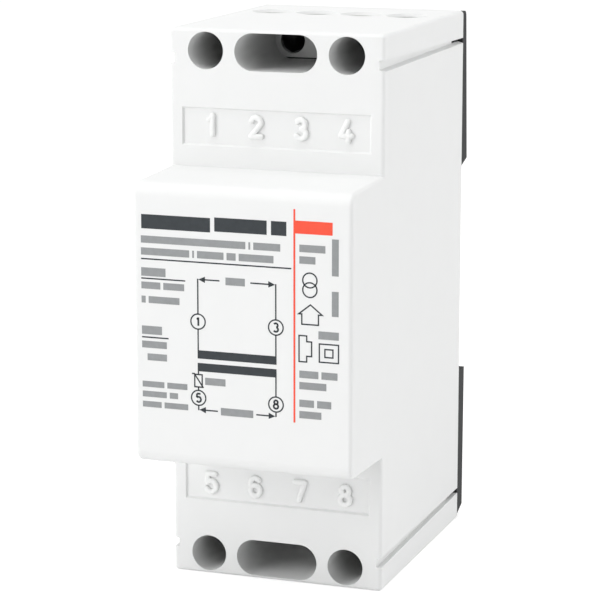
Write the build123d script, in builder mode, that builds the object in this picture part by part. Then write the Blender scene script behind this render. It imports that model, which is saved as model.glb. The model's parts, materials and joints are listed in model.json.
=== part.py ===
"""A two-module safety transformer for a 35 mm top-hat rail, as an assembly of separate pieces."""

import os

from build123d import *

# Frame, in millimetres: X runs along the rail, Y from front to back and Z up.
# The origin is the centre of the plane that seats on the rail.

# Housing
width = 36.0
height = 90.0
shoulder_depth = 44.0
nose_depth = 15.5
nose_height = 44.8
nose_draft = 0.5
nose_radius = 2.0
edge_radius = 0.6
rear_chamfer = 0.6
side_wall = 1.5
end_wall = 1.0
front_wall = 1.5
nose_wall = 1.5

# Wells for the screwdriver, four to an end, the middle two joined in a slot
terminals_per_end = 4
terminal_depth = 25.0
well_diameter = 6.0
well_wall = 1.6

# Shallow panels that carry the terminal numbers
panel_margin = 2.1
panel_height = 6.2
panel_offset = 3.35
panel_recess = 0.35
panel_draft = 40.0

# Grooves along the side walls: each narrows from the shoulder to the rear, its inner wall slopes
groove_inset = 4.0
groove_mouth = 1.8
groove_tail_inset = 4.7
groove_tail = 0.9
groove_depth = 0.9
groove_slope = 0.3
tongue_length = 4.0
tongue_gap = 0.05

# Base plate and the rail that it grips
plug_thickness = 2.0
plug_gap = 0.1
rail_width = 35.0
rail_thickness = 1.0
rail_gap = 0.6
block_inset = 0.1
block_depth = 3.6
block_top_depth = 2.2
block_bottom_depth = 3.3
block_top_gap = 0.2
block_bottom_gap = 0.6
block_bottom_slope = 1.3
block_corner = 1.0
lead_in = 1.1
hook_gap = 0.3
hook_reach = 1.8
hook_width = 7.0
hook_spacing = 19.0
pocket_rib = 1.6
pocket_floor = 0.8

# Sliding latch at the lower edge of the rail
latch_width = 14.0
latch_flange = 2.0
latch_flange_thickness = 0.8
latch_face_gap = 0.1
latch_side_gap = 0.2
latch_rear_gap = 0.2
latch_travel = 3.0
latch_tip = 0.6
latch_foot_inset = 2.4
flange_top_offset = 2.4
flange_end_gap = 0.6
window_width = 6.4
window_offset = 5.9
pull_zone = 7.6
pull_slot_width = 5.5
pull_slot_height = 1.8
stop_height = 1.7
stop_gap = 0.15
spring_strip = 0.45
spring_depth = 1.2
spring_pitch = 2.0
spring_side_gap = 0.4
spring_end_gap = 0.05

# Terminal blocks: a front plate, partitions and an inner wall
block_side_gap = 0.24
block_front_gap = 0.1
partition = 1.0
plate_thickness = 1.2
plate_hole = 4.2
plate_slit = 0.25
inner_wall = 1.3
inner_wall_gap = 0.5

# Lifting-cage clamps
head_diameter = 4.6
head_thickness = 1.9
head_gap = 0.2
driver_slot = 0.8
driver_cross = 3.0
driver_depth = 1.0
shank_diameter = 3.0
thread_gap = 0.1
tip_gap = 0.2
clamp_travel = 3.6
cage_length = 4.4
cage_end_gap = 0.3
cage_side_gap = 0.24
cage_side = 0.8
cage_front = 1.4
cage_rear = 1.0
cage_gap = 0.4
wire_space = 4.4
entry_web = 1.7
entry_funnel = 0.5
strip_thickness = 1.0
strip_side_gap = 0.3
strip_slot_gap = 0.05
strip_end_gap = 0.2
strip_tail = 5.0
strip_bend = 1.2
lug_length = 7.4
lug_margin = 1.8

# Core, coil and wiring
core_gap = 0.9
core_post_min = 4.0
core_post_width = 14.0
core_post_seat = 5.0
core_post_lip = 1.5
core_post_grip = 4.0
core_post_gap = 0.15
stack_relief = 0.25
former_gap = 0.15
former_wall = 0.8
flange_wall = 0.9
flange_gap = 0.2
flange_side_gap = 0.3
winding_inset = 0.6
winding_corner = 3.0
winding_gap = 0.05
tape_thickness = 0.3
lead_diameter = 1.6
ptc_radius = 4.0
ptc_thickness = 3.0
ptc_edge = 0.6
ptc_leg = 0.8
ptc_leg_length = 3.0
ptc_leg_stub = 1.0

# Housing, worked out
half_width = width / 2
half_height = height / 2
nose_front = shoulder_depth + nose_depth
nose_tip = nose_height / 2
nose_root = nose_tip + nose_draft
inner_width = width - 2 * side_wall
inner_half_height = half_height - end_wall
well_depth = shoulder_depth - terminal_depth
panel_z = nose_root + panel_offset + panel_height / 2
groove_mouth_outer = half_height - groove_inset
groove_tail_outer = half_height - groove_tail_inset
tongue_low = groove_tail_outer - groove_tail + groove_slope

# Terminals, worked out from the front plate back and from the end walls in
block_width = inner_width - 2 * block_side_gap
pitch = (block_width - partition) / terminals_per_end
terminal_x = [(i - (terminals_per_end - 1) / 2) * pitch for i in range(terminals_per_end)]
screw_z = inner_half_height - cage_end_gap - cage_length / 2
block_front = -terminal_depth + block_front_gap
plate_rear = block_front + plate_thickness
head_front = plate_rear + head_gap
head_rear = head_front + head_thickness
strip_front = head_rear + clamp_travel + cage_front + 2 * cage_gap
strip_rear = strip_front + strip_thickness
cage_width = pitch - partition - 2 * cage_side_gap
cage_bore = cage_width - 2 * cage_side
cage_face = strip_front - cage_gap - cage_front
cage_bore_rear = strip_rear + wire_space
strip_width = cage_bore - 2 * strip_side_gap
entry_y = (strip_rear + cage_bore_rear) / 2
entry_diameter = pitch - entry_web
plate_low = screw_z - cage_length / 2 - inner_wall_gap
inner_wall_top = plate_low - plate_slit
inner_wall_low = inner_wall_top - inner_wall
cavity_half_height = screw_z - well_diameter / 2 - well_wall
strip_low = inner_wall_low - strip_tail
lug_front = strip_front - lug_length
solder_y = lug_front + lug_margin

# Base plate and latch, worked out
recess = rail_width / 2 + rail_gap
hook_face = rail_thickness + hook_gap
channel_floor = hook_face - latch_face_gap
latch_rear = block_bottom_depth - latch_rear_gap
latch_top = -recess + hook_reach
latch_foot = -half_height + latch_foot_inset
flange_half = latch_width / 2 + latch_flange
flange_rear = hook_face + latch_flange_thickness
window_top = -recess - window_offset
window_bottom = latch_foot + pull_zone
stop_low = window_bottom + stop_gap
stop_top = stop_low + stop_height

# Core and coil, worked out: the largest lamination that the nose and the depth allow
core_front = -nose_front + front_wall
leg = min((2 * (nose_tip - nose_wall - core_gap)) / 5, (-core_front - plug_thickness - core_post_min) / 6)
stack = inner_width - 2 * (leg - stack_relief)
core_rear = core_front + 6 * leg
core_y = (core_front + core_rear) / 2
core_half = 2.5 * leg
window_half = 1.5 * leg
flange_x = inner_width / 2 - flange_side_gap
flange_y = 2 * leg - flange_gap
former_x = stack / 2 + former_gap + former_wall
former_y = leg + former_gap + former_wall
former_z = window_half - flange_gap
tape_x = flange_x - winding_inset
tape_y = flange_y - winding_inset
winding_x = tape_x - tape_thickness
winding_y = tape_y - tape_thickness

os.makedirs("parts", exist_ok=True)


def facing(y):
    """Plane across the depth at y, seen from the front: extrusions run forward."""
    return Plane.XZ.offset(-y)


def save(piece, name):
    """Label a finished piece and write it under its own name."""
    piece.part.label = name
    export_step(piece.part, f"parts/{name}.step")


# Cutter for the four side grooves, lofted from the shoulder to the rear edge:
# square outer wall, sloping inner wall
groove_floor = half_width - groove_depth
with BuildPart() as grooves:
    for y, outer, span in (
        (-shoulder_depth, groove_mouth_outer, groove_mouth),
        (0, groove_tail_outer, groove_tail),
    ):
        with BuildSketch(facing(y)):
            with BuildLine():
                Polyline(
                    (width, outer),
                    (groove_floor, outer),
                    (groove_floor, outer - span + groove_slope),
                    (half_width, outer - span),
                    (width, outer - span),
                    close=True,
                )
            make_face()
    loft()
    mirror(about=Plane.YZ)
    mirror(about=Plane.XY)

# Front housing: stepped profile, hollow inside, open at the back
with BuildPart() as front_housing:
    with BuildSketch(Plane.YZ) as profile:
        with BuildLine():
            Polyline(
                (0, -half_height),
                (-shoulder_depth, -half_height),
                (-shoulder_depth, -nose_root),
                (-nose_front, -nose_tip),
                (-nose_front, nose_tip),
                (-shoulder_depth, nose_root),
                (-shoulder_depth, half_height),
                (0, half_height),
                close=True,
            )
        make_face()
        shoulder_corners = profile.vertices().group_by(Axis.X)[1].sort_by(Axis.Y)
        fillet([shoulder_corners[0], shoulder_corners[-1]], radius=edge_radius)
        fillet(profile.vertices().group_by(Axis.X)[0], radius=nose_radius)
        chamfer(profile.vertices().group_by(Axis.X)[-1], length=rear_chamfer)
    extrude(amount=half_width, both=True)
    side_edges = front_housing.faces().filter_by(Axis.X).edges()
    fillet(side_edges.filter_by(lambda edge: edge.center().Y < -rear_chamfer), radius=edge_radius)

    with BuildSketch(Plane.YZ):
        with BuildLine():
            Polyline(
                (0, -inner_half_height),
                (-terminal_depth, -inner_half_height),
                (-terminal_depth, -cavity_half_height),
                (-shoulder_depth + front_wall, -cavity_half_height),
                (-shoulder_depth + front_wall, -nose_tip + nose_wall),
                (core_front, -nose_tip + nose_wall),
                (core_front, nose_tip - nose_wall),
                (-shoulder_depth + front_wall, nose_tip - nose_wall),
                (-shoulder_depth + front_wall, cavity_half_height),
                (-terminal_depth, cavity_half_height),
                (-terminal_depth, inner_half_height),
                (0, inner_half_height),
                close=True,
            )
        make_face()
    extrude(amount=inner_width / 2, both=True, mode=Mode.SUBTRACT)

    with BuildSketch(facing(-shoulder_depth)):
        with GridLocations((terminals_per_end - 1) * pitch, 2 * screw_z, 2, 2):
            Circle(well_diameter / 2)
        with GridLocations(0, 2 * screw_z, 1, 2):
            SlotCenterToCenter(pitch, well_diameter)
    extrude(amount=-well_depth, mode=Mode.SUBTRACT)

    with BuildSketch(facing(-shoulder_depth)):
        with GridLocations(0, 2 * panel_z, 1, 2):
            Rectangle(width - 2 * panel_margin, panel_height)
    extrude(amount=-panel_recess, taper=panel_draft, mode=Mode.SUBTRACT)

    with BuildSketch():
        with Locations((0, entry_y)):
            with GridLocations(pitch, 0, terminals_per_end, 1):
                Circle(entry_diameter / 2)
    extrude(amount=half_height, both=True, mode=Mode.SUBTRACT)
    entry_rims = front_housing.edges().filter_by(GeomType.CIRCLE).group_by(Axis.Z)
    chamfer(entry_rims[0] + entry_rims[-1], length=entry_funnel)

    add(grooves.part, mode=Mode.SUBTRACT)

    # Slits at the rear end of the grooves, for the tongues of the base plate
    with BuildSketch(facing(0)):
        with GridLocations(0, tongue_low + groove_tail_outer, 1, 2):
            Rectangle(2 * width, groove_tail_outer - tongue_low)
    extrude(amount=tongue_length, mode=Mode.SUBTRACT)

save(front_housing, "front_housing")

# Base plate: a plug in the back of the housing, rail blocks behind it, posts for the core
with BuildPart() as base_plate:
    with BuildSketch(facing(0)):
        Rectangle(inner_width - 2 * plug_gap, 2 * (inner_half_height - plug_gap))
    extrude(amount=plug_thickness)

    with BuildSketch(facing(0)):
        with GridLocations(0, tongue_low + groove_tail_outer, 1, 2):
            Rectangle(2 * (half_width - groove_depth), groove_tail_outer - tongue_low - 2 * tongue_gap)
        Rectangle(inner_width - 2 * plug_gap, height, mode=Mode.SUBTRACT)
    extrude(amount=tongue_length - tongue_gap)

    with BuildSketch(Plane.YZ) as upper_profile:
        with BuildLine():
            Polyline(
                (0, recess),
                (block_depth, recess + lead_in),
                (block_top_depth, half_height - block_top_gap),
                (0, half_height - block_top_gap),
                close=True,
            )
        make_face()
        fillet(upper_profile.vertices().sort_by(Axis.Y).sort_by(Axis.X)[-2], radius=block_corner)
    extrude(amount=half_width - block_inset, both=True)

    with BuildSketch(Plane.YZ):
        with BuildLine():
            Polyline(
                (0, -recess),
                (block_depth, -recess),
                (block_bottom_depth, -half_height + block_bottom_gap + block_bottom_slope),
                (0, -half_height + block_bottom_gap),
                close=True,
            )
        make_face()
    extrude(amount=half_width - block_inset, both=True)

    # Fixed hooks that reach behind the upper edge of the rail
    for hook_x in (-hook_spacing / 2, hook_spacing / 2):
        with BuildSketch(Plane.YZ.offset(hook_x)):
            with BuildLine():
                Polyline(
                    (hook_face, recess - hook_reach),
                    (block_depth - hook_gap, recess - hook_reach),
                    (block_depth, recess - hook_reach + hook_gap),
                    (block_depth, recess + lead_in),
                    (hook_face, recess + lead_in),
                    close=True,
                )
            make_face()
        extrude(amount=hook_width / 2, both=True)

    # Cored pockets in the rear of the upper block and beside the latch
    upper_low = recess + lead_in + 2 * pocket_rib
    upper_top = half_height - block_top_gap - 2 * pocket_rib
    pocket_pitch = (2 * (half_width - block_inset) - pocket_rib) / 3
    with BuildSketch(facing(pocket_floor)):
        with Locations((0, (upper_low + upper_top) / 2)):
            with GridLocations(pocket_pitch, 0, 3, 1):
                Rectangle(pocket_pitch - pocket_rib, upper_top - upper_low)
    extrude(amount=-block_depth, mode=Mode.SUBTRACT)
    lower_inner = flange_half + latch_side_gap + pocket_rib
    lower_outer = half_width - block_inset - pocket_rib
    lower_top = -recess - 2 * pocket_rib
    lower_low = latch_foot + pocket_rib
    with BuildSketch(facing(pocket_floor)):
        with Locations((0, (lower_top + lower_low) / 2)):
            with GridLocations(lower_inner + lower_outer, 0, 2, 1):
                Rectangle(lower_outer - lower_inner, lower_top - lower_low)
    extrude(amount=-block_depth, mode=Mode.SUBTRACT)

    # Channel for the latch, with lips over its flanges and a stop for the spring
    with BuildSketch(facing(channel_floor)):
        with Locations((0, -half_height)):
            Rectangle(latch_width + 2 * latch_side_gap, 2 * (half_height - recess) + 2 * rail_gap)
    extrude(amount=-block_depth, mode=Mode.SUBTRACT)
    with BuildSketch(facing(channel_floor)):
        with Locations((0, -half_height)):
            Rectangle(
                2 * (flange_half + latch_side_gap),
                2 * (half_height - recess - flange_top_offset + latch_side_gap),
            )
    extrude(amount=-(flange_rear + latch_face_gap - channel_floor), mode=Mode.SUBTRACT)
    with BuildSketch(facing(channel_floor)):
        with Locations((0, (stop_low + stop_top) / 2)):
            Rectangle(window_width - 2 * spring_side_gap, stop_height)
    extrude(amount=-(latch_rear - latch_rear_gap - channel_floor))

    # Posts that clamp the back of the core and grip its ends
    with BuildSketch(Plane.YZ) as post:
        with BuildLine():
            Polyline(
                (-plug_thickness, core_half - core_post_seat),
                (core_rear, core_half - core_post_seat),
                (core_rear, core_half + core_post_gap),
                (core_rear - core_post_grip, core_half + core_post_gap),
                (core_rear - core_post_grip, core_half + core_post_gap + core_post_lip),
                (-plug_thickness, core_half + core_post_gap + core_post_lip),
                close=True,
            )
        make_face()
        mirror(about=Plane.XZ)
    extrude(amount=core_post_width / 2, both=True)

save(base_plate, "base_plate")

# Rail latch: flanged slider with a sloped nose, a spring window and a pull slot
with BuildPart() as rail_latch:
    with BuildSketch(Plane.YZ):
        with BuildLine():
            Polyline(
                (hook_face, latch_top),
                (hook_face + latch_tip, latch_top),
                (latch_rear, -recess),
                (latch_rear, latch_foot),
                (hook_face, latch_foot),
                close=True,
            )
        make_face()
    extrude(amount=latch_width / 2, both=True)
    flange_top = -recess - flange_top_offset
    flange_low = latch_foot + latch_travel + flange_end_gap
    with BuildSketch(facing(hook_face)):
        with Locations((0, (flange_top + flange_low) / 2)):
            Rectangle(2 * flange_half, flange_top - flange_low)
    extrude(amount=-latch_flange_thickness)
    with BuildSketch(facing(hook_face)):
        with Locations((0, (window_top + window_bottom) / 2)):
            Rectangle(window_width, window_top - window_bottom)
        with Locations((0, latch_foot + pull_zone / 3)):
            Rectangle(pull_slot_width, pull_slot_height)
    extrude(amount=-block_depth, mode=Mode.SUBTRACT)

save(rail_latch, "rail_latch")

# Latch spring: a strip bent to and fro between the stop and the top of the window
spring_low = stop_top + spring_end_gap + spring_strip / 2
spring_top = window_top - spring_end_gap - spring_strip / 2
spring_half = window_width / 2 - spring_side_gap - spring_strip / 2
spring_y = (channel_floor + latch_rear) / 2
spring_bends = round((spring_top - spring_low) / spring_pitch)
spring_step = (spring_top - spring_low) / spring_bends
spring_points = []
for i in range(spring_bends + 1):
    side = 1 if i % 2 else -1
    spring_points += [
        (side * spring_half, spring_y, spring_low + i * spring_step),
        (-side * spring_half, spring_y, spring_low + i * spring_step),
    ]
with BuildPart() as latch_spring:
    with BuildLine() as meander:
        FilletPolyline(*spring_points, radius=(spring_step - spring_strip / 4) / 2)
    with BuildSketch(Plane(origin=spring_points[0], z_dir=(1, 0, 0), x_dir=(0, 1, 0))):
        Rectangle(spring_depth, spring_strip)
    sweep(path=meander.wires()[0])

save(latch_spring, "latch_spring")

# Terminal blocks: front plate with screw holes, partitions, slotted inner wall
with BuildPart() as upper_terminal_block:
    plate_top = inner_half_height - block_side_gap
    with BuildSketch(facing(plate_rear)):
        with Locations((0, (plate_low + plate_top) / 2)):
            Rectangle(block_width, plate_top - plate_low)
        with Locations(*[(x, screw_z) for x in terminal_x]):
            Circle(plate_hole / 2, mode=Mode.SUBTRACT)
    extrude(amount=plate_thickness)
    with BuildSketch(facing(-plug_thickness)):
        with Locations((0, (inner_wall_low + plate_top) / 2)):
            with GridLocations(pitch, 0, terminals_per_end + 1, 1):
                Rectangle(partition, plate_top - inner_wall_low)
    extrude(amount=-plug_thickness - plate_rear)
    with BuildSketch(facing(-plug_thickness)):
        with Locations((0, inner_wall_low + inner_wall / 2)):
            Rectangle(block_width, inner_wall)
    extrude(amount=-plug_thickness - block_front)
    with BuildSketch(Plane.XY.offset(inner_wall_low)):
        with Locations(*[(x, (strip_front + strip_rear) / 2) for x in terminal_x]):
            Rectangle(strip_width + 2 * strip_slot_gap, strip_thickness + 2 * strip_slot_gap)
    extrude(amount=inner_wall, mode=Mode.SUBTRACT)

with BuildPart() as lower_terminal_block:
    mirror(upper_terminal_block.part, about=Plane.XY)

save(upper_terminal_block, "upper_terminal_block")
save(lower_terminal_block, "lower_terminal_block")


def terminal_screw(x, z):
    """Clamp screw along Y with a combined slot and cross in its head."""
    with BuildPart() as screw:
        with BuildSketch(facing(head_rear)):
            with Locations((x, z)):
                Circle(head_diameter / 2)
        extrude(amount=head_thickness)
        with BuildSketch(facing(head_front)):
            with Locations((x, z)):
                Rectangle(head_diameter, driver_slot)
                Rectangle(driver_slot, driver_cross)
        extrude(amount=-driver_depth, mode=Mode.SUBTRACT)
        with BuildSketch(facing(head_rear)):
            with Locations((x, z)):
                Circle(shank_diameter / 2)
        extrude(amount=-(strip_front - tip_gap - head_rear))
    return screw


def clamp_cage(x, z):
    """Rectangular cage, open along Z for the wire, threaded on the screw at its front."""
    depth = cage_bore_rear + cage_rear - cage_face
    with BuildPart() as cage:
        with BuildSketch(Plane.XY.offset(z - cage_length / 2)):
            with Locations((x, cage_face + depth / 2)):
                Rectangle(cage_width, depth)
            with Locations((x, (cage_face + cage_front + cage_bore_rear) / 2)):
                Rectangle(cage_bore, cage_bore_rear - cage_face - cage_front, mode=Mode.SUBTRACT)
        extrude(amount=cage_length)
        with BuildSketch(facing(cage_face)):
            with Locations((x, z)):
                Circle(shank_diameter / 2 + thread_gap)
        extrude(amount=-cage_front, mode=Mode.SUBTRACT)
    return cage


def busbar(x, side, lead_x):
    """Fixed strip behind the screw tip, its tail bent forward as a solder lug that reaches to the lead."""
    strip_top = screw_z + cage_length / 2 - strip_end_gap
    with BuildPart() as strip:
        with BuildSketch(Plane(origin=(x, 0, 0), x_dir=(0, 1, 0), z_dir=(side, 0, 0))) as section:
            with BuildLine():
                Polyline(
                    (strip_front, strip_top),
                    (strip_front, strip_low + strip_thickness),
                    (lug_front, strip_low + strip_thickness),
                    (lug_front, strip_low),
                    (strip_rear, strip_low),
                    (strip_rear, strip_top),
                    close=True,
                )
            make_face()
            fillet(section.vertices().group_by(Axis.X)[-1].sort_by(Axis.Y)[0], radius=strip_bend)
        extrude(amount=strip_width / 2, both=True)
        with BuildSketch(Plane.XY.offset(side * strip_low)):
            with Locations(((x + lead_x) / 2, solder_y)):
                Rectangle(abs(lead_x - x) + strip_width, 2 * lug_margin)
        extrude(amount=side * strip_thickness)
    return strip


# Terminals in use: number, place across the width, end of the housing, place of the lead
used_terminals = [
    (1, terminal_x[0], 1, terminal_x[0]),
    (3, terminal_x[2], 1, terminal_x[3]),
    (5, terminal_x[0], -1, terminal_x[0]),
    (8, terminal_x[3], -1, terminal_x[3]),
]
for number, x, side, lead_x in used_terminals:
    save(terminal_screw(x, side * screw_z), f"terminal_screw_{number}")
    save(clamp_cage(x, side * screw_z), f"clamp_cage_{number}")
    save(busbar(x, side, lead_x), f"busbar_{number}")

# Core: E laminations with the yoke below, I laminations across the leg ends
with BuildPart() as core_e_stack:
    with BuildSketch(Plane.YZ):
        with Locations((core_y, -core_half)):
            Rectangle(6 * leg, 4 * leg, align=(Align.CENTER, Align.MIN))
        with Locations((core_y - 1.5 * leg, window_half), (core_y + 1.5 * leg, window_half)):
            Rectangle(leg, 2 * window_half, align=(Align.CENTER, Align.MAX), mode=Mode.SUBTRACT)
    extrude(amount=stack / 2, both=True)

save(core_e_stack, "core_e_stack")

with BuildPart() as core_i_stack:
    with BuildSketch(Plane.YZ):
        with Locations((core_y, window_half)):
            Rectangle(6 * leg, leg, align=(Align.CENTER, Align.MIN))
    extrude(amount=stack / 2, both=True)

save(core_i_stack, "core_i_stack")

# Coil former: a tube round the centre leg with end flanges and a barrier between the chambers
chamber_low = flange_wall / 2
chamber_top = former_z - flange_wall
with BuildPart() as coil_bobbin:
    with BuildSketch(Plane.XY.offset(-former_z)):
        with Locations((0, core_y)):
            Rectangle(2 * former_x, 2 * former_y)
    extrude(amount=2 * former_z)
    for flange_low_z in (-former_z, -chamber_low, chamber_top):
        with BuildSketch(Plane.XY.offset(flange_low_z)):
            with Locations((0, core_y)):
                Rectangle(2 * flange_x, 2 * flange_y)
        extrude(amount=flange_wall)
    with BuildSketch(Plane.XY.offset(-former_z)):
        with Locations((0, core_y)):
            Rectangle(stack + 2 * former_gap, 2 * (leg + former_gap))
    extrude(amount=2 * former_z, mode=Mode.SUBTRACT)

save(coil_bobbin, "coil_bobbin")

# Windings and their wraps: closed rings that fill the two chambers of the former
with BuildSketch() as winding_section:
    RectangleRounded(2 * (winding_x - winding_gap), 2 * (winding_y - winding_gap), winding_corner)
    Rectangle(2 * (former_x + winding_gap), 2 * (former_y + winding_gap), mode=Mode.SUBTRACT)
with BuildSketch() as tape_section:
    RectangleRounded(2 * tape_x, 2 * tape_y, winding_corner)
    RectangleRounded(2 * winding_x, 2 * winding_y, winding_corner, mode=Mode.SUBTRACT)
for coil, chamber in (("secondary", chamber_low), ("primary", -chamber_top)):
    for layer, section in (("winding", winding_section), ("tape", tape_section)):
        with BuildPart() as ring:
            with BuildSketch(Plane.XY.offset(chamber + winding_gap)):
                with Locations((0, core_y)):
                    add(section.sketch)
            extrude(amount=chamber_top - chamber_low - 2 * winding_gap)
        save(ring, f"{coil}_{layer}")

# Protector: a coated disc on two legs, between terminal 5 and the primary winding
ptc_x = terminal_x[0]
ptc_z = -(strip_low - ptc_leg_length - ptc_radius)
ptc_leg_end = ptc_z + ptc_radius + ptc_leg_stub
with BuildPart() as ptc_thermistor:
    with BuildSketch(Plane.YZ.offset(ptc_x)):
        with Locations((solder_y, ptc_z)):
            Circle(ptc_radius)
    extrude(amount=ptc_thickness / 2, both=True)
    chamfer(ptc_thermistor.edges().filter_by(GeomType.CIRCLE), length=ptc_edge)
    with BuildSketch(Plane.XY.offset(-strip_low)):
        with Locations((ptc_x, solder_y)):
            Circle(ptc_leg / 2)
    extrude(amount=ptc_leg_end + strip_low)

save(ptc_thermistor, "ptc_thermistor")

# Insulated leads: straight from the coil to the lugs, beside the core
for name, x, low, top in (
    ("secondary_lead_1", terminal_x[0], former_z, strip_low),
    ("secondary_lead_3", terminal_x[3], former_z, strip_low),
    ("primary_lead_5", ptc_x, ptc_leg_end, -former_z),
    ("primary_lead_8", terminal_x[3], -strip_low, -former_z),
):
    with BuildPart() as lead:
        with BuildSketch(Plane.XY.offset(low)):
            with Locations((x, solder_y)):
                Circle(lead_diameter / 2)
        extrude(amount=top - low)
    save(lead, name)
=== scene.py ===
import json
import math

import bmesh
import bpy
from mathutils import Matrix, Vector


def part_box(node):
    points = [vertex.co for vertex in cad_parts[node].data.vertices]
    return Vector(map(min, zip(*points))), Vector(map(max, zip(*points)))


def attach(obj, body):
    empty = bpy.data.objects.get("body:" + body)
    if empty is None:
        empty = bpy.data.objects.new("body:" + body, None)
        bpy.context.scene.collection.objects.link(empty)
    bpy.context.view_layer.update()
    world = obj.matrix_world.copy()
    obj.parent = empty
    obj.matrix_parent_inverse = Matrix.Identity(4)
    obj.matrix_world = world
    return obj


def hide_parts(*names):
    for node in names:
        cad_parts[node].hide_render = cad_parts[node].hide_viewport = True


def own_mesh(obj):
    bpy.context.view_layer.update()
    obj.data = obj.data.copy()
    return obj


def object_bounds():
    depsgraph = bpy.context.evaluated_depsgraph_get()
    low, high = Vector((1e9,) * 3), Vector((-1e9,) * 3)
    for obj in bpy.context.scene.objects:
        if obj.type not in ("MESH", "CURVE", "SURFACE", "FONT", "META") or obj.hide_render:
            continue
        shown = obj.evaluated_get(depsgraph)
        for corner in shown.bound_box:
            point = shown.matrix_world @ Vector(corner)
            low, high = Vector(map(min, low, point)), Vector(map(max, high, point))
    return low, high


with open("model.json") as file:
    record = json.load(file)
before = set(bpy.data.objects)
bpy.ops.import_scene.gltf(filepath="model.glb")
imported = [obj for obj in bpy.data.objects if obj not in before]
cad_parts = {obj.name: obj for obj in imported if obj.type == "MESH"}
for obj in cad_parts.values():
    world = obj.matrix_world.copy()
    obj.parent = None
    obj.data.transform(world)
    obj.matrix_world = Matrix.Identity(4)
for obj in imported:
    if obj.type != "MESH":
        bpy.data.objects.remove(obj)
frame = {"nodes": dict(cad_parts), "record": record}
cad_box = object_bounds()
nodes = frame["nodes"]
scene = bpy.context.scene
scene.view_settings.view_transform = "Standard"

MM = 0.001

# Finishes: widths of sheets, wires and tape in metres, then settings that the finishes share;
# the wave texture runs through its phase, in radians, over one metre at a scale of 1
SHEET = 0.5 * MM
WIRE = 0.45 * MM
TAPE = 3.4 * MM
NOISE_DETAIL = 3.0
WAVE_PHASE = 20.0
GLOSS_SPREAD = 0.07
COAT_ROUGHNESS = 0.2
HOLLOW_SAMPLES = 8

# Moulded terminal numbers in the two shallow panels of the shoulders, in metres
SHOULDER_DEPTH = 44.0 * MM
PANEL_RECESS = 0.35 * MM
PANEL_CENTRE = 29.35 * MM
NUMBER_HEIGHT = 3.95 * MM
NUMBER_STROKE = 0.95 * MM
NUMBER_RELIEF = 0.5 * MM
UPPER_PITCH, UPPER_SHIFT, UPPER_RISE = 7.53 * MM, 0.42 * MM, 0.3 * MM
LOWER_PITCH, LOWER_SHIFT, LOWER_RISE = 7.73 * MM, 0.17 * MM, -0.14 * MM
NUMBER_FLATNESS = 3.0
RIDGE_SEGMENTS = 5
ARC_STEP = 12

# Film of ink on the nose, in metres
INK_LIFT = 0.02 * MM
INK_DEPTH = 0.05 * MM

# Layout of the print, in millimetres from the centre of the nose
LINE = 0.22
LEFT = -16.7
RIGHT_COLUMN = 9.5
RED_X, RED_WIDTH = 8.69, 0.3
COIL_LEFT, COIL_RIGHT = -7.22, 5.66
TOP_Z, BOTTOM_Z = 7.75, -13.05
UPPER_WINDING, LOWER_WINDING = (-4.83, -3.5), (-6.86, -5.53)
UPPER_RING_Z, LOWER_RING_Z = 1.05, -11.15
RING = 1.2
RING_FIGURE, FIGURE_STROKE = 1.33, 0.3
OVERRUN = 0.1
PROTECTOR_LEFT, PROTECTOR_RIGHT = -7.85, -6.6
PROTECTOR_LOW, PROTECTOR_TOP = -9.4, -7.4
ARROW_LENGTH, ARROW_WIDTH, ARROW_STEM = 1.1, 1.0, 1.0
WORD_GAP = 0.5
UPRIGHT_LEFT, UPRIGHT_RIGHT = 14.75, 15.85

# Heights of the bars that stand in place of words, in millimetres
HEADING_TEXT = 1.35
SYMBOL_TEXT = 1.25
ARROW_TEXT = 1.2
TITLE_TEXT = 1.15
COLUMN_TEXT = 1.1
SMALL_TEXT = 0.95

# Floor in metres and shares of white, then the world's light and the share of it left in front
FLOOR_SIZE = 6.0
FLOOR_GAP = 0.05 * MM
FLOOR_WHITE = 0.85
FLOOR_GLOW = 0.76
FLOOR_SHADE = 0.4
WORLD_LIGHT = 0.71
WORLD_FRONT = 0.23

# Camera fitted to the photograph: turned to the right, looking down, aimed near the middle of the
# shoulders; distances in metres, lens and sensor in millimetres
CAMERA_YAW = math.radians(19.578)
CAMERA_PITCH = math.radians(11.746)
CAMERA_DISTANCE = 406.825 * MM
CAMERA_SIDE = 3.857 * MM
CAMERA_RISE = 1.908 * MM
CLIP_START = 10 * MM
LENS = 152.316
SENSOR = 36.0

# Places read from the frame, in metres
housing_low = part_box("front_housing")[0]
nose_front = housing_low.y
floor_height = housing_low.z


# Finishes


def add_node(tree, kind, **values):
    """New shader node with its attributes or input sockets set by name."""
    node = tree.nodes.new(kind)
    for name, value in values.items():
        if hasattr(node, name):
            setattr(node, name, value)
        else:
            node.inputs[name.replace("_", " ")].default_value = value
    return node


def noise_field(tree, grain, stretch=(1, 1, 1)):
    """Noise over the object with features of about the given size in metres."""
    place = add_node(tree, "ShaderNodeTexCoord")
    mapping = add_node(tree, "ShaderNodeMapping", Scale=stretch)
    noise = add_node(tree, "ShaderNodeTexNoise", Scale=1 / grain, Detail=NOISE_DETAIL)
    tree.links.new(place.outputs["Object"], mapping.inputs["Vector"])
    tree.links.new(mapping.outputs["Vector"], noise.inputs["Vector"])
    return noise.outputs["Fac"]


def band_field(tree, axis, pitch):
    """Even bands along one axis of the object, one to each pitch in metres."""
    place = add_node(tree, "ShaderNodeTexCoord")
    wave = add_node(tree, "ShaderNodeTexWave", Scale=2 * math.pi / (WAVE_PHASE * pitch))
    wave.bands_direction = axis
    tree.links.new(place.outputs["Object"], wave.inputs["Vector"])
    return wave.outputs["Fac"]


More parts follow.
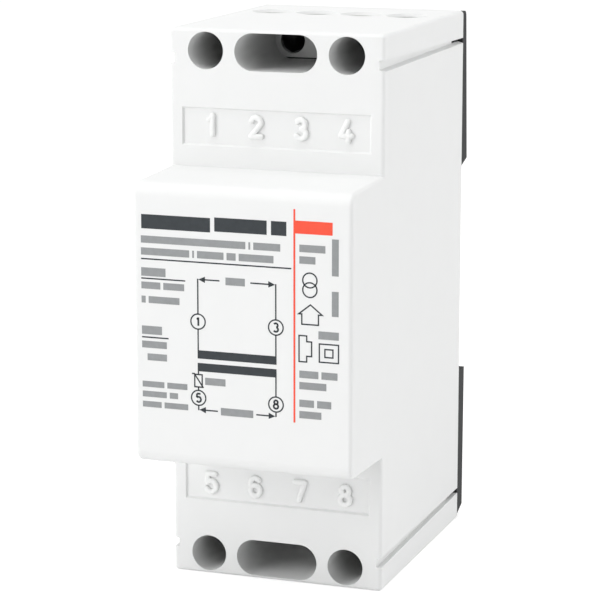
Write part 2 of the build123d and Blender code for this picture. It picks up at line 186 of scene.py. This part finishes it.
def colour_mix(tree, factor):
    """Colour mix driven by a factor: its two colour inputs and its output."""
    blend = add_node(tree, "ShaderNodeMix", data_type="RGBA")
    tree.links.new(factor, blend.inputs["Factor"])
    first, second = [socket for socket in blend.inputs if socket.type == "RGBA"]
    mixed = next(socket for socket in blend.outputs if socket.type == "RGBA")
    return first, second, mixed


def tint(tree, field, low, high):
    """Field from 0 to 1 mapped to a blend of two colours."""
    first, second, mixed = colour_mix(tree, field)
    first.default_value = (*low, 1)
    second.default_value = (*high, 1)
    return mixed


def painted_hollow_shade(tree, colour, reach, low, high, least):
    """Colour with painted shade, darker deep in narrow openings of the object.

    The open share of the surroundings within the reach, in metres, sets how much of the colour stays:
    the least part of it where the share is low, all of it where the share is high.
    """
    depth = add_node(tree, "ShaderNodeAmbientOcclusion", Distance=reach, only_local=True)
    depth.samples = HOLLOW_SAMPLES
    levels = add_node(tree, "ShaderNodeMapRange", From_Min=low, From_Max=high, To_Min=least)
    tree.links.new(depth.outputs["AO"], levels.inputs["Value"])
    black, full, shaded = colour_mix(tree, levels.outputs["Result"])
    black.default_value = (0, 0, 0, 1)
    tree.links.new(colour, full)
    return shaded


def spread(tree, field, low, high):
    """Field from 0 to 1 mapped to a range of values."""
    span = add_node(tree, "ShaderNodeMapRange", To_Min=low, To_Max=high)
    tree.links.new(field, span.inputs["Value"])
    return span.outputs["Result"]


def relief(tree, field, depth, strength):
    """Bump normal from a field, its height given in metres."""
    bump = add_node(tree, "ShaderNodeBump", Strength=strength, Distance=depth)
    tree.links.new(field, bump.inputs["Height"])
    return bump.outputs["Normal"]


def finish(
    name, colour, roughness, metallic=0.0, shade=0.06, mottle=4 * MM, grain=0.25 * MM,
    depth=0.02 * MM, strength=0.3, stretch=(1, 1, 1), bands=None, coat=0.0, mirror=0.5, painted_shade=None,
):
    """Surface with mottled colour, uneven gloss and fine relief.

    Bands, an axis and a pitch, add turns or sheets; the last setting paints shade into the colour
    deep in narrow openings.
    """
    material = bpy.data.materials.new(name)
    material.use_nodes = True
    tree = material.node_tree
    shader = tree.nodes["Principled BSDF"]
    shader.inputs["Metallic"].default_value = metallic
    shader.inputs["Specular IOR Level"].default_value = mirror
    shader.inputs["Coat Weight"].default_value = coat
    shader.inputs["Coat Roughness"].default_value = COAT_ROUGHNESS
    fine = noise_field(tree, grain, stretch)
    broad = band_field(tree, *bands) if bands else noise_field(tree, mottle)
    dark = [channel * (1 - shade) for channel in colour]
    light = [min(1.0, channel * (1 + shade / 2)) for channel in colour]
    mottled = tint(tree, broad, dark, light)
    if painted_shade:
        mottled = painted_hollow_shade(tree, mottled, **painted_shade)
    gloss = spread(tree, fine, roughness - GLOSS_SPREAD, roughness + GLOSS_SPREAD)
    tree.links.new(mottled, shader.inputs["Base Color"])
    tree.links.new(gloss, shader.inputs["Roughness"])
    tree.links.new(relief(tree, broad if bands else fine, depth, strength), shader.inputs["Normal"])
    return material


white_plastic = {"roughness": 0.5, "shade": 0.012, "depth": 0.01 * MM, "mirror": 0.2}
bare_metal = {"metallic": 1.0, "roughness": 0.3, "shade": 0.12}
finishes = {
    # Painted shade: the housing's white turns darker towards the deep ends of its wells and other
    # narrow openings
    "housing_white": finish(
        "housing_white", (0.755, 0.76, 0.757), **white_plastic,
        painted_shade={"reach": 20 * MM, "low": 0.0, "high": 0.15, "least": 0.62},
    ),
    "base_grey": finish(
        "base_grey", (0.034, 0.035, 0.036), 0.6, shade=0.1, grain=0.2 * MM, mirror=0.1,
    ),
    # Painted shade: the block's grey goes to black inside its narrow inner chambers, behind the screw
    # holes
    "block_grey": finish(
        "block_grey", (0.68, 0.685, 0.68), 0.5, mirror=0.1,
        painted_shade={"reach": 8 * MM, "low": 0.5, "high": 0.9, "least": 0.0},
    ),
    "plated_steel": finish(
        "plated_steel", (0.62, 0.61, 0.57), **bare_metal, grain=0.12 * MM, stretch=(1, 0.2, 1),
    ),
    "spring_steel": finish(
        "spring_steel", (0.45, 0.45, 0.46), 0.28, metallic=1.0, shade=0.15,
        grain=0.1 * MM, stretch=(1, 0.1, 1),
    ),
    "busbar_brass": finish(
        "busbar_brass", (0.78, 0.62, 0.33), **bare_metal, grain=0.15 * MM, stretch=(1, 1, 0.2),
    ),
    "core_steel": finish(
        "core_steel", (0.2, 0.2, 0.22), 0.45, metallic=0.7, shade=0.5,
        depth=0.06 * MM, strength=0.8, bands=("X", SHEET),
    ),
    "bobbin_plastic": finish("bobbin_plastic", (0.55, 0.53, 0.48), 0.5, shade=0.08),
    "copper_wire": finish(
        "copper_wire", (0.62, 0.27, 0.12), 0.3, metallic=1.0, shade=0.5,
        depth=0.2 * MM, strength=1.0, bands=("Z", WIRE), coat=0.3,
    ),
    "coil_tape": finish(
        "coil_tape", (0.8, 0.58, 0.1), 0.28, shade=0.12,
        depth=0.03 * MM, strength=0.5, bands=("Z", TAPE), coat=0.2,
    ),
    "disc_ceramic": finish(
        "disc_ceramic", (0.5, 0.16, 0.05), 0.3, shade=0.12, grain=0.4 * MM, coat=0.4,
    ),
    "lead_black": finish("lead_black", (0.03, 0.03, 0.032), 0.42, shade=0.15),
    "lead_blue": finish("lead_blue", (0.04, 0.1, 0.36), 0.42, shade=0.12),
}
# Painted highlight: the moulded numbers share the housing's plastic but get a lighter white, so their
# strokes stand out brighter than the panel
number_white_painted_highlight = finish("number_white_painted_highlight", (0.79, 0.795, 0.79), **white_plastic)
inks = {
    name: finish(name, colour, 0.5, shade=shade, mottle=0.8 * MM, depth=0.004 * MM, mirror=0.1)
    for name, colour, shade in (
        ("print_dark", (0.047, 0.053, 0.058), 0.2),
        ("print_grey", (0.29, 0.3, 0.305), 0.15),
        ("print_red", (0.84, 0.096, 0.056), 0.06),
    )
}

for subpart in frame["record"]["subparts"]:
    mesh = nodes[subpart["node"]].data
    mesh.materials.clear()
    mesh.materials.append(finishes[subpart["material_slot"]])


# Moulded terminal numbers


def piece(name, bm, material):
    """Mesh object of the part made from a bmesh, with one finish, riding on the transformer."""
    mesh = bpy.data.meshes.new(name)
    bm.to_mesh(mesh)
    bm.free()
    mesh.materials.append(material)
    made = bpy.data.objects.new(name, mesh)
    scene.collection.objects.link(made)
    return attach(made, "transformer")


def arc(x, z, across, up, start=0, end=360):
    """Points on an ellipse between two angles in degrees; a full turn leaves out its last point."""
    steps = round(abs(end - start) / ARC_STEP)
    count = steps if abs(end - start) == 360 else steps + 1
    angles = [math.radians(start + (end - start) * i / steps) for i in range(count)]
    return [(x + across * math.cos(angle), z + up * math.sin(angle)) for angle in angles]


# Figures as strokes on a box one unit high, centred across; True closes a stroke
FIGURES = {
    1: [
        ([(-0.16, 0.8), (-0.05, 0.84), (0.03, 0.96)], False),
        ([(0.04, 1.0), (0.04, 0.0)], False),
    ],
    2: [
        (arc(0, 0.73, 0.27, 0.27, 165, -15), False),
        ([(0.25, 0.64), (-0.28, 0.0)], False),
        ([(-0.28, 0.0), (0.29, 0.0)], False),
    ],
    3: [
        (arc(0, 0.76, 0.235, 0.24, 150, -78), False),
        (arc(0, 0.265, 0.28, 0.265, 78, -150), False),
    ],
    4: [
        ([(0.08, 1.0), (-0.29, 0.27)], False),
        ([(-0.29, 0.27), (0.3, 0.27)], False),
        ([(0.12, 0.5), (0.12, 0.0)], False),
    ],
    5: [
        ([(0.24, 1.0), (-0.2, 1.0)], False),
        ([(-0.2, 1.0), (-0.23, 0.53)], False),
        (arc(0, 0.31, 0.29, 0.31, 138, -150), False),
    ],
    6: [
        (arc(0, 0.62, 0.28, 0.38, 42, 186), False),
        (arc(0, 0.3, 0.28, 0.3), True),
    ],
    7: [
        ([(-0.28, 1.0), (0.28, 1.0)], False),
        ([(0.28, 1.0), (-0.06, 0.0)], False),
    ],
    8: [
        (arc(0, 0.77, 0.22, 0.23), True),
        (arc(0, 0.27, 0.28, 0.27), True),
    ],
}

# Rounded end of a stroke: reach past its last point and thickness there, as shares of the radius
ROUND_END = ((0.5, 0.87), (0.87, 0.5), (1.0, 0.1))


def add_ridge(bm, points, closed, depth, stroke):
    """Round ridge along points in metres on a plane that faces the front; open ends are rounded."""
    radius = stroke / 2
    path = [(Vector((x, depth, z)), 1.0) for x, z in points]
    if not closed:
        head = (path[0][0] - path[1][0]).normalized() * radius
        tail = (path[-1][0] - path[-2][0]).normalized() * radius
        before = [(path[0][0] + head * reach, share) for reach, share in reversed(ROUND_END)]
        after = [(path[-1][0] + tail * reach, share) for reach, share in ROUND_END]
        path = before + path + after
    curve = bpy.data.curves.new("ridge", "CURVE")
    curve.dimensions = "3D"
    curve.bevel_depth = radius
    curve.bevel_resolution = RIDGE_SEGMENTS
    curve.use_fill_caps = True
    spline = curve.splines.new("POLY")
    spline.use_cyclic_u = closed
    spline.points.add(len(path) - 1)
    for point, (place, share) in zip(spline.points, path):
        point.co = (*place, 1)
        point.radius = share
    holder = bpy.data.objects.new("ridge", curve)
    mesh = bpy.data.meshes.new_from_object(holder)
    bm.from_mesh(mesh)
    bpy.data.objects.remove(holder)
    bpy.data.curves.remove(curve)
    bpy.data.meshes.remove(mesh)


def flatten_crests(bm, depth, stroke):
    """Give round ridges on a plane the height and the flatter crest of moulded numbers."""
    for vertex in bm.verts:
        rise = min(1.0, max(0.0, (depth - vertex.co.y) / (stroke / 2)))
        across = math.sqrt(1 - rise * rise)
        crest = (1 - across ** NUMBER_FLATNESS) ** (1 / NUMBER_FLATNESS)
        vertex.co.y = depth - NUMBER_RELIEF * crest


panel_depth = PANEL_RECESS - SHOULDER_DEPTH
tall = NUMBER_HEIGHT - NUMBER_STROKE
for name, figures, middle, pitch, shift in (
    ("moulded_numbers_upper", (1, 2, 3, 4), PANEL_CENTRE + UPPER_RISE, UPPER_PITCH, UPPER_SHIFT),
    ("moulded_numbers_lower", (5, 6, 7, 8), -PANEL_CENTRE + LOWER_RISE, LOWER_PITCH, LOWER_SHIFT),
):
    bm = bmesh.new()
    for i, figure in enumerate(figures):
        centre_x = shift + (i - (len(figures) - 1) / 2) * pitch
        for points, closed in FIGURES[figure]:
            placed = [(centre_x + x * tall, middle + (z - 0.5) * tall) for x, z in points]
            add_ridge(bm, placed, closed, panel_depth, NUMBER_STROKE)
    flatten_crests(bm, panel_depth, NUMBER_STROKE)
    for face in bm.faces:
        face.smooth = True
    piece(name, bm, number_white_painted_highlight)


# Print: fields of colour and plain shapes on the nose, in millimetres from its centre


def add_face(bm, points):
    """Flat shape on the nose from points in millimetres, anticlockwise seen from the front."""
    bm.faces.new([bm.verts.new((x * MM, nose_front - INK_LIFT, z * MM)) for x, z in points])


def corners(x0, x1, z0, z1):
    """Corners of an upright rectangle, anticlockwise from the lower left."""
    return [(x0, z0), (x1, z0), (x1, z1), (x0, z1)]


def add_line(bm, points, closed=False, width=LINE):
    """Line of the given width through the points, with square corners."""
    places = [Vector(point) for point in points]
    count = len(places)
    sides = []
    for i in range(count if closed else count - 1):
        along = (places[(i + 1) % count] - places[i]).normalized()
        sides.append(Vector((-along.y, along.x)))
    edges = []
    for i, place in enumerate(places):
        before = sides[i - 1] if closed or i else sides[0]
        after = sides[i] if i < len(sides) else sides[-1]
        reach = (before + after) / (1 + before.dot(after)) * width / 2
        edges.append((place - reach, place + reach))
    for i in range(len(sides)):
        (right, left), (next_right, next_left) = edges[i], edges[(i + 1) % count]
        add_face(bm, [right, next_right, next_left, left])


def add_arrow(bm, x, z, direction):
    """Arrowhead with its tip at x, z, pointing left or right."""
    tail = x - direction * ARROW_LENGTH
    half = direction * ARROW_WIDTH / 2
    add_face(bm, [(x, z), (tail, z + half), (tail, z - half)])


def add_words(bm, x, z, height, lengths):
    """Line of plain bars in place of words, from x to the right, centred on z."""
    for length in lengths:
        add_face(bm, corners(x, x + length, z - height / 2, z + height / 2))
        x += length + WORD_GAP


def ink(name, bm, material):
    """Printed piece: thin film that stands a little proud of the nose."""
    made = piece(name, bm, material)
    film = made.modifiers.new("film", "SOLIDIFY")
    film.thickness = INK_DEPTH
    return made


red = bmesh.new()
red_edge = RED_X + RED_WIDTH / 2
add_face(red, corners(RED_X - RED_WIDTH / 2, red_edge, -13.75, 19.7))
add_face(red, corners(red_edge, 14.85, 15.95, 17.95))
ink("print_red_field", red, inks["print_red"])

# Heading fields, then rules, each at its height and to its right end
dark = bmesh.new()
for field in (
    corners(LEFT + 0.1, -5.1, 15.25, 17.5),
    corners(-4.4, 4.2, 15.45, 17.65),
    corners(4.9, 7.4, 15.45, 17.65),
):
    add_face(dark, field)
for z, right in ((10.45, 8.2), (7.35, -9.3), (-2.05, -12.2)):
    add_line(dark, [(LEFT, z), (right, z)])

# Circuit: two windings as bars, four numbered terminals, a protector, measuring arrows
for low, top in (UPPER_WINDING, LOWER_WINDING):
    add_face(dark, corners(COIL_LEFT - LINE / 2, COIL_RIGHT + LINE / 2, low, top))
for x in (COIL_LEFT, COIL_RIGHT):
    add_line(dark, [(x, TOP_Z + OVERRUN), (x, UPPER_RING_Z + RING)])
    add_line(dark, [(x, UPPER_RING_Z - RING), (x, UPPER_WINDING[1])])
    add_line(dark, [(x, LOWER_RING_Z - RING), (x, BOTTOM_Z - OVERRUN)])
    for z in (UPPER_RING_Z, LOWER_RING_Z):
        add_line(dark, arc(x, z, RING, RING), closed=True)
add_line(dark, [(COIL_RIGHT, LOWER_WINDING[0]), (COIL_RIGHT, LOWER_RING_Z + RING)])
add_line(dark, [(COIL_LEFT, LOWER_WINDING[0]), (COIL_LEFT, PROTECTOR_TOP)])
add_line(dark, [(COIL_LEFT, PROTECTOR_LOW), (COIL_LEFT, LOWER_RING_Z + RING)])
add_line(dark, corners(PROTECTOR_LEFT, PROTECTOR_RIGHT, PROTECTOR_LOW, PROTECTOR_TOP), closed=True)
add_line(dark, [(-8.3, -7.3), (-7.9, -7.3), (-6.4, -9.5)])
for z, left_end, right_end in ((TOP_Z, -3.6, 1.5), (BOTTOM_Z, -4.0, 2.4)):
    add_arrow(dark, COIL_LEFT + LINE / 2, z, -1)
    add_arrow(dark, COIL_RIGHT - LINE / 2, z, 1)
    add_line(dark, [(COIL_LEFT + ARROW_STEM, z), (left_end, z)])
    add_line(dark, [(right_end, z), (COIL_RIGHT - ARROW_STEM, z)])
for figure, x, z in (
    (1, COIL_LEFT, UPPER_RING_Z),
    (3, COIL_RIGHT, UPPER_RING_Z),
    (5, COIL_LEFT, LOWER_RING_Z),
    (8, COIL_RIGHT, LOWER_RING_Z),
):
    for points, closed in FIGURES[figure]:
        placed = [(x + across * RING_FIGURE, z + (up - 0.5) * RING_FIGURE) for across, up in points]
        add_line(dark, placed, closed, FIGURE_STROKE)

# Plain symbols: house, stepped bracket, nested squares, two rings
for outline in (
    [(9.9, 1.9), (12.6, 1.9), (12.6, 3.5), (13.2, 3.5), (11.3, 5.0), (9.4, 3.5), (9.9, 3.5)],
    [
        (9.45, -4.0), (10.7, -4.0), (10.7, -3.1), (11.5, -3.1),
        (11.5, -0.8), (10.7, -0.8), (10.7, 0.1), (9.45, 0.1),
    ],
    corners(12.75, 15.85, -3.85, -1.0),
    corners(13.65, 14.95, -3.05, -1.8),
    arc(11.2, 8.8, 1.15, 1.15),
    arc(11.2, 7.3, 1.15, 1.15),
):
    add_line(dark, outline, closed=True)
ink("print_dark_field", dark, inks["print_dark"])

# Bars in place of words: left end and middle height of a row, height of its bars, their lengths
grey = bmesh.new()
for x, z, height, lengths in (
    (LEFT, 13.55, TITLE_TEXT, (17.4, 0.3, 4.4)),
    (LEFT, 11.65, TITLE_TEXT, (8.1, 0.3, 4.4, 1.5, 5.7)),
    (LEFT, 8.4, HEADING_TEXT, (4.1,)),
    (LEFT, 6.25, COLUMN_TEXT, (3.2, 3.5)),
    (LEFT, 4.0, COLUMN_TEXT, (0.7, 5.2)),
    (LEFT, -0.9, HEADING_TEXT, (3.4,)),
    (LEFT, -3.2, COLUMN_TEXT, (4.2,)),
    (LEFT + 0.9, -5.2, COLUMN_TEXT, (3.3,)),
    (LEFT, -9.6, SMALL_TEXT, (3.7, 3.4)),
    (LEFT, -11.2, SMALL_TEXT, (4.1, 1.4)),
    (LEFT, -12.85, SMALL_TEXT, (3.2, 4.0)),
    (-2.6, TOP_Z, ARROW_TEXT, (3.2,)),
    (-3.5, BOTTOM_Z, ARROW_TEXT, (5.4,)),
    (-6.1, -8.4, TITLE_TEXT, (3.4,)),
    (RIGHT_COLUMN, 13.7, TITLE_TEXT, (4.2,)),
    (RIGHT_COLUMN, 11.9, TITLE_TEXT, (2.6,)),
    (12.6, 0.35, SYMBOL_TEXT, (3.3,)),
    (RIGHT_COLUMN, -6.0, TITLE_TEXT, (3.1, 2.6)),
    (RIGHT_COLUMN, -7.8, TITLE_TEXT, (4.4,)),
    (RIGHT_COLUMN, -10.6, TITLE_TEXT, (2.4, 2.3)),
    (RIGHT_COLUMN, -12.4, TITLE_TEXT, (3.6,)),
):
    add_words(grey, x, z, height, lengths)
for low, top in ((9.7, 15.4), (3.4, 7.3)):
    add_face(grey, corners(UPRIGHT_LEFT, UPRIGHT_RIGHT, low, top))
ink("print_grey_field", grey, inks["print_grey"])

# Latch spring: the CAD strip as a piece of its own, riding on the transformer, with the CAD part
# hidden
spring = bpy.data.objects.new("latch_spring_strip", nodes["latch_spring"].data.copy())
scene.collection.objects.link(spring)
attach(spring, "transformer")
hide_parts("latch_spring")
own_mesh(spring)


# Floor and world


def grey_level(value):
    """Neutral colour of the given share of white."""
    return (value, value, value, 1)


def ray_share(tree):
    """1 on rays that show the background: seen directly, mirrored or through glass."""
    path = add_node(tree, "ShaderNodeLightPath")
    total = path.outputs["Is Camera Ray"]
    for name in ("Is Glossy Ray", "Is Transmission Ray"):
        joined = add_node(tree, "ShaderNodeMath", operation="MAXIMUM")
        tree.links.new(total, joined.inputs[0])
        tree.links.new(path.outputs[name], joined.inputs[1])
        total = joined.outputs["Value"]
    return total


def lit_or_shown(tree, lit, shown):
    """Shader that lights the part as the first one and is shown as the second."""
    choice = add_node(tree, "ShaderNodeMixShader")
    tree.links.new(ray_share(tree), choice.inputs[0])
    tree.links.new(lit.outputs[0], choice.inputs[1])
    tree.links.new(shown.outputs[0], choice.inputs[2])
    return choice.outputs[0]


bm = bmesh.new()
bmesh.ops.create_grid(bm, x_segments=1, y_segments=1, size=FLOOR_SIZE / 2)
floor_mesh = bpy.data.meshes.new("floor")
bm.to_mesh(floor_mesh)
bm.free()
floor = bpy.data.objects.new("floor", floor_mesh)
floor.location.z = floor_height - FLOOR_GAP
scene.collection.objects.link(floor)

# Floor: white paper for the light, and a white glow that still takes the part's shadow for the eye
floor_look = bpy.data.materials.new("floor_white")
floor_look.use_nodes = True
tree = floor_look.node_tree
tree.nodes.clear()
paper = add_node(tree, "ShaderNodeBsdfDiffuse", Color=grey_level(FLOOR_WHITE))
glow = add_node(tree, "ShaderNodeEmission", Strength=FLOOR_GLOW)
shadow_paper = add_node(tree, "ShaderNodeBsdfDiffuse", Color=grey_level(FLOOR_SHADE))
shown = add_node(tree, "ShaderNodeAddShader")
tree.links.new(glow.outputs[0], shown.inputs[0])
tree.links.new(shadow_paper.outputs[0], shown.inputs[1])
surface = add_node(tree, "ShaderNodeOutputMaterial")
tree.links.new(lit_or_shown(tree, paper, shown), surface.inputs["Surface"])
floor_mesh.materials.append(floor_look)

# World: white to look at, its light weaker towards the front
world = bpy.data.worlds.new("studio")
scene.world = world
world.use_nodes = True
tree = world.node_tree
tree.nodes.clear()
room = add_node(tree, "ShaderNodeBackground", Color=grey_level(1))
way = add_node(tree, "ShaderNodeTexCoord")
parts = add_node(tree, "ShaderNodeSeparateXYZ")
level = add_node(
    tree, "ShaderNodeMapRange",
    From_Min=-1, From_Max=0, To_Min=WORLD_LIGHT * WORLD_FRONT, To_Max=WORLD_LIGHT,
)
tree.links.new(way.outputs["Generated"], parts.inputs[0])
tree.links.new(parts.outputs["Y"], level.inputs["Value"])
tree.links.new(level.outputs["Result"], room.inputs["Strength"])
backdrop = add_node(tree, "ShaderNodeBackground", Color=grey_level(1), Strength=1.0)
sky = add_node(tree, "ShaderNodeOutputWorld")
tree.links.new(lit_or_shown(tree, room, backdrop), sky.inputs["Surface"])

# Lamps: place from the centre of the part and size in metres, power in watts
centre = (cad_box[0] + cad_box[1]) / 2
for name, offset, size, power in (
    ("top_softbox", (-0.05, -0.15, 0.78), 0.6, 3.3),
    ("left_softbox", (-0.62, -0.66, 0.26), 0.6, 4.4),
    ("right_softbox", (0.9, 0.2, 0.15), 0.6, 3.25),
    ("front_softbox", (-0.15, -0.96, 0.04), 0.26, 1.17),
):
    lamp = bpy.data.lights.new(name, "AREA")
    lamp.size = size
    lamp.energy = power
    softbox = bpy.data.objects.new(name, lamp)
    softbox.location = centre + Vector(offset)
    softbox.rotation_euler = (-Vector(offset)).to_track_quat("-Z", "Y").to_euler()
    scene.collection.objects.link(softbox)

# Camera
turn = Matrix.Rotation(CAMERA_YAW, 3, "Z") @ Matrix.Rotation(math.radians(90) - CAMERA_PITCH, 3, "X")
lens = bpy.data.cameras.new("camera")
lens.lens = LENS
lens.sensor_width = SENSOR
lens.clip_start = CLIP_START
camera = bpy.data.objects.new("camera", lens)
camera.rotation_euler = turn.to_euler()
aim = Vector((0, -SHOULDER_DEPTH, 0))
camera.location = aim + turn @ Vector((CAMERA_SIDE, CAMERA_RISE, CAMERA_DISTANCE))
scene.collection.objects.link(camera)
scene.camera = camera
